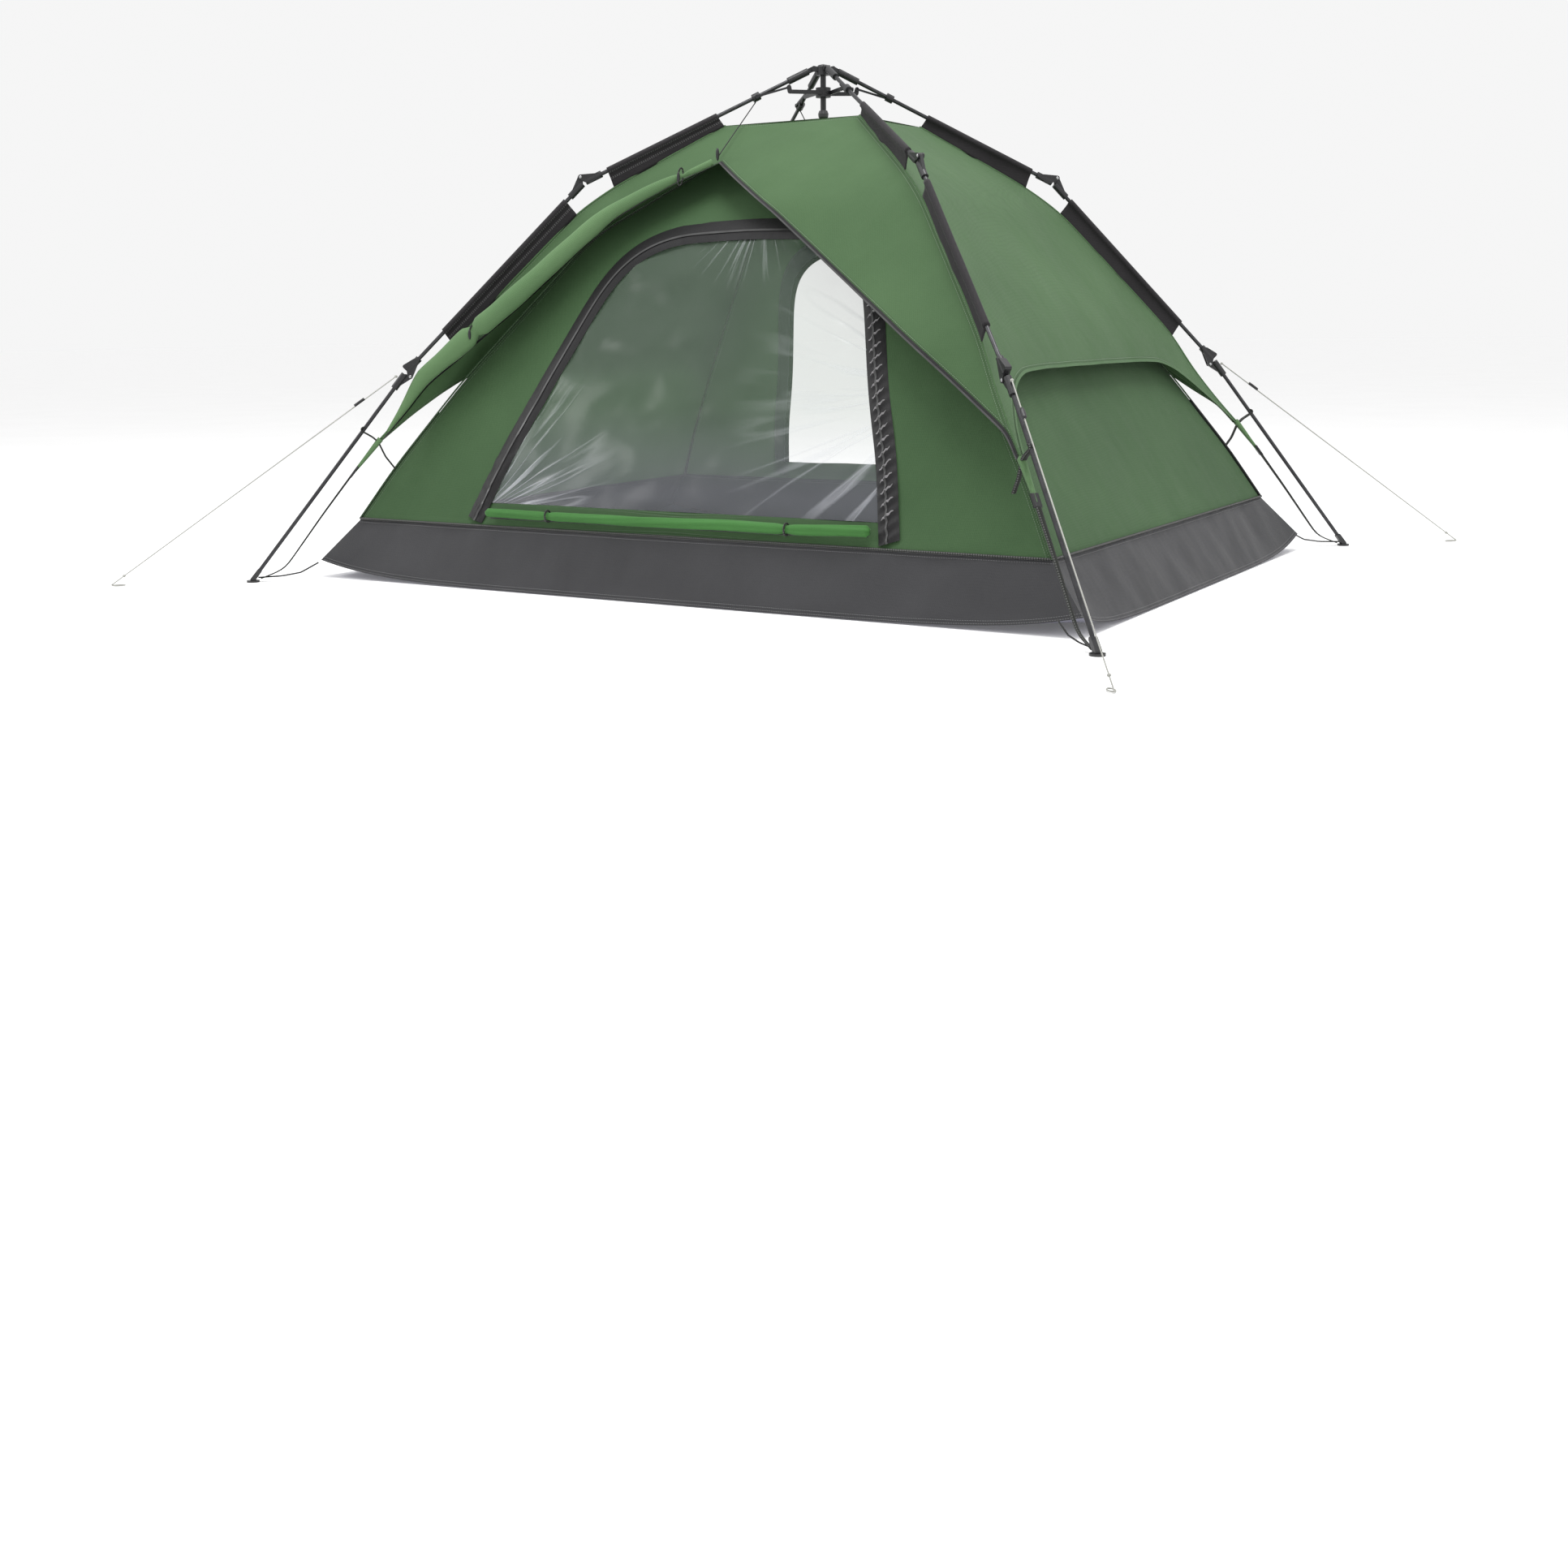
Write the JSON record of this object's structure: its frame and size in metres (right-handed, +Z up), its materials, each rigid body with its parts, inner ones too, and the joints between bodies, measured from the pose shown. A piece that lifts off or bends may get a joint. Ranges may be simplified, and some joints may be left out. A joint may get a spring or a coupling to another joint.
{
  "type": "automatic family tent with an outside pole frame",
  "caption": "Green family tent hung under an outside umbrella frame of folding legs, with a fly sheet, arched film door, bathtub floor, corner straps and guy lines.",
  "frame": {"origin": "on the ground, at the middle of the floor, straight below the hub", "axes": "+Z up, +X along the long side of the floor, to the right of someone facing the front door from inside looking out of -Y; the front door faces -Y"},
  "size_m": [2.947, 2.6077, 1.318],
  "materials": {
    "steel": "satin grey tube",
    "black_nylon": "satin black moulded nylon",
    "grip_grey": "dark grey moulding",
    "fly_green": "coated woven polyester, dull",
    "inner_green": "coated woven polyester, dull",
    "tub_grey": "coated woven polyester, dull dark grey",
    "film": "clear soft film with a fine sheen",
    "roll_green": "coated woven polyester, rolled",
    "cord_grey": "braided polyester cord"
  },
  "bodies": {
    "hub": {"top_hub": "black_nylon", "centre_post": "black_nylon", "pull_grip": "grip_grey", "fly_roof": "fly_green", "fly_front": "fly_green", "fly_back": "fly_green", "fly_left": "fly_green", "fly_right": "fly_green", "tub_floor": "tub_grey", "inner_front_wall": "inner_green", "inner_back_wall": "inner_green", "inner_side_and_roof": "inner_green", "front_door_roll": "roll_green", "back_door_roll": "roll_green"},
    "runner": {"runner": "black_nylon"},
    "front_door": {"front_door": "film"},
    "upper_front_left": {"hub_socket_front_left": "black_nylon", "upper_pole_front_left": "steel", "strut_clamp_front_left": "black_nylon", "knee_fork_front_left": "black_nylon"},
    "strut_front_left": {"strut_front_left": "steel"},
    "middle_front_left": {"knee_tongue_front_left": "black_nylon", "middle_pole_front_left": "steel", "ankle_fork_front_left": "black_nylon"},
    "lower_front_left": {"ankle_tongue_front_left": "black_nylon", "lower_pole_front_left": "steel", "guy_line_front_left": "cord_grey"},
    "upper_front_right": {"hub_socket_front_right": "black_nylon", "upper_pole_front_right": "steel", "strut_clamp_front_right": "black_nylon", "knee_fork_front_right": "black_nylon"},
    "strut_front_right": {"strut_front_right": "steel"},
    "middle_front_right": {"knee_tongue_front_right": "black_nylon", "middle_pole_front_right": "steel", "ankle_fork_front_right": "black_nylon"},
    "lower_front_right": {"ankle_tongue_front_right": "black_nylon", "lower_pole_front_right": "steel", "guy_line_front_right": "cord_grey"},
    "upper_back_right": {"hub_socket_back_right": "black_nylon", "upper_pole_back_right": "steel", "strut_clamp_back_right": "black_nylon", "knee_fork_back_right": "black_nylon"},
    "strut_back_right": {"strut_back_right": "steel"},
    "middle_back_right": {"knee_tongue_back_right": "black_nylon", "middle_pole_back_right": "steel", "ankle_fork_back_right": "black_nylon"},
    "lower_back_right": {"ankle_tongue_back_right": "black_nylon", "lower_pole_back_right": "steel", "guy_line_back_right": "cord_grey"},
    "upper_back_left": {"hub_socket_back_left": "black_nylon", "upper_pole_back_left": "steel", "strut_clamp_back_left": "black_nylon", "knee_fork_back_left": "black_nylon"},
    "strut_back_left": {"strut_back_left": "steel"},
    "middle_back_left": {"knee_tongue_back_left": "black_nylon", "middle_pole_back_left": "steel", "ankle_fork_back_left": "black_nylon"},
    "lower_back_left": {"ankle_tongue_back_left": "black_nylon", "lower_pole_back_left": "steel", "guy_line_back_left": "cord_grey"}
  },
  "joints": [
    {"name": "hub_hinge_front_left", "type": "hinge", "parent": "hub", "child": "upper_front_left", "pos_m": [-0.01983, -0.01681, 1.306], "axis": [0.6465, -0.7629, 0], "range_deg": [0, 50], "deforming": ["fly_roof", "fly_front", "fly_back", "fly_left", "fly_right", "tub_floor", "inner_front_wall", "inner_back_wall", "inner_side_and_roof", "front_door_roll", "back_door_roll"]},
    {"name": "strut_hinge_front_left", "type": "hinge", "parent": "upper_front_left", "child": "strut_front_left", "pos_m": [-0.1373, -0.11635, 1.2344], "axis": [0.6465, -0.7629, 0], "range_deg": [0, 40.88]},
    {"name": "knee_hinge_front_left", "type": "hinge", "parent": "upper_front_left", "child": "middle_front_left", "pos_m": [-0.49596, -0.42031, 1.03316], "axis": [-0.6465, 0.7629, 0], "range_deg": [0, 194.01]},
    {"name": "ankle_hinge_front_left", "type": "hinge", "parent": "middle_front_left", "child": "lower_front_left", "pos_m": [-0.85362, -0.72341, 0.53088], "axis": [0.6465, -0.7629, 0], "range_deg": [0, 170.01]},
    {"name": "hub_hinge_front_right", "type": "hinge", "parent": "hub", "child": "upper_front_right", "pos_m": [0.01983, -0.01681, 1.306], "axis": [0.6465, 0.7629, 0], "range_deg": [0, 50.01]},
    {"name": "strut_hinge_front_right", "type": "hinge", "parent": "upper_front_right", "child": "strut_front_right", "pos_m": [0.1373, -0.11635, 1.2344], "axis": [0.6465, 0.7629, 0], "range_deg": [0, 40.88]},
    {"name": "knee_hinge_front_right", "type": "hinge", "parent": "upper_front_right", "child": "middle_front_right", "pos_m": [0.49596, -0.42031, 1.03316], "axis": [-0.6465, -0.7629, 0], "range_deg": [0, 194.01]},
    {"name": "ankle_hinge_front_right", "type": "hinge", "parent": "middle_front_right", "child": "lower_front_right", "pos_m": [0.85362, -0.72341, 0.53088], "axis": [0.6465, 0.7629, 0], "range_deg": [0, 170.01]},
    {"name": "hub_hinge_back_right", "type": "hinge", "parent": "hub", "child": "upper_back_right", "pos_m": [0.01983, 0.01681, 1.306], "axis": [-0.6465, 0.7629, 0], "range_deg": [0, 50.01]},
    {"name": "strut_hinge_back_right", "type": "hinge", "parent": "upper_back_right", "child": "strut_back_right", "pos_m": [0.1373, 0.11635, 1.2344], "axis": [-0.6465, 0.7629, 0], "range_deg": [0, 40.88]},
    {"name": "knee_hinge_back_right", "type": "hinge", "parent": "upper_back_right", "child": "middle_back_right", "pos_m": [0.49596, 0.42031, 1.03316], "axis": [0.6465, -0.7629, 0], "range_deg": [0, 194.01]},
    {"name": "ankle_hinge_back_right", "type": "hinge", "parent": "middle_back_right", "child": "lower_back_right", "pos_m": [0.85362, 0.72341, 0.53088], "axis": [-0.6465, 0.7629, 0], "range_deg": [0, 170.01]},
    {"name": "hub_hinge_back_left", "type": "hinge", "parent": "hub", "child": "upper_back_left", "pos_m": [-0.01983, 0.01681, 1.306], "axis": [-0.6465, -0.7629, 0], "range_deg": [0, 50.01]},
    {"name": "strut_hinge_back_left", "type": "hinge", "parent": "upper_back_left", "child": "strut_back_left", "pos_m": [-0.1373, 0.11635, 1.2344], "axis": [-0.6465, -0.7629, 0], "range_deg": [0, 40.88]},
    {"name": "knee_hinge_back_left", "type": "hinge", "parent": "upper_back_left", "child": "middle_back_left", "pos_m": [-0.49596, 0.42031, 1.03316], "axis": [0.6465, 0.7629, 0], "range_deg": [0, 194.01]},
    {"name": "ankle_hinge_back_left", "type": "hinge", "parent": "middle_back_left", "child": "lower_back_left", "pos_m": [-0.85362, 0.72341, 0.53088], "axis": [-0.6465, -0.7629, 0], "range_deg": [0, 170.01]},
    {"name": "runner_slide", "type": "slide", "parent": "hub", "child": "runner", "axis": [0, 0, -1], "range_m": [0, 0.03147]},
    {"name": "front_door_fold", "type": "hinge", "parent": "hub", "child": "front_door", "pos_m": [0, -0.764, 0.2175], "axis": [-1, 0, 0], "range_deg": [-130, 0]}
  ],
  "couplings": [
    {"joint": "strut_hinge_front_left", "follows": "hub_hinge_front_left", "ratio": 0.81732},
    {"joint": "knee_hinge_front_left", "follows": "hub_hinge_front_left", "ratio": 3.88},
    {"joint": "ankle_hinge_front_left", "follows": "hub_hinge_front_left", "ratio": 3.4},
    {"joint": "hub_hinge_front_right", "follows": "hub_hinge_front_left", "ratio": 1},
    {"joint": "strut_hinge_front_right", "follows": "hub_hinge_front_left", "ratio": 0.81732},
    {"joint": "knee_hinge_front_right", "follows": "hub_hinge_front_left", "ratio": 3.88},
    {"joint": "ankle_hinge_front_right", "follows": "hub_hinge_front_left", "ratio": 3.4},
    {"joint": "hub_hinge_back_right", "follows": "hub_hinge_front_left", "ratio": 1},
    {"joint": "strut_hinge_back_right", "follows": "hub_hinge_front_left", "ratio": 0.81732},
    {"joint": "knee_hinge_back_right", "follows": "hub_hinge_front_left", "ratio": 3.88},
    {"joint": "ankle_hinge_back_right", "follows": "hub_hinge_front_left", "ratio": 3.4},
    {"joint": "hub_hinge_back_left", "follows": "hub_hinge_front_left", "ratio": 1},
    {"joint": "strut_hinge_back_left", "follows": "hub_hinge_front_left", "ratio": 0.81732},
    {"joint": "knee_hinge_back_left", "follows": "hub_hinge_front_left", "ratio": 3.88},
    {"joint": "ankle_hinge_back_left", "follows": "hub_hinge_front_left", "ratio": 3.4},
    {"joint": "runner_slide", "follows": "hub_hinge_front_left", "m_per_rad": 0.035946}
  ]
}
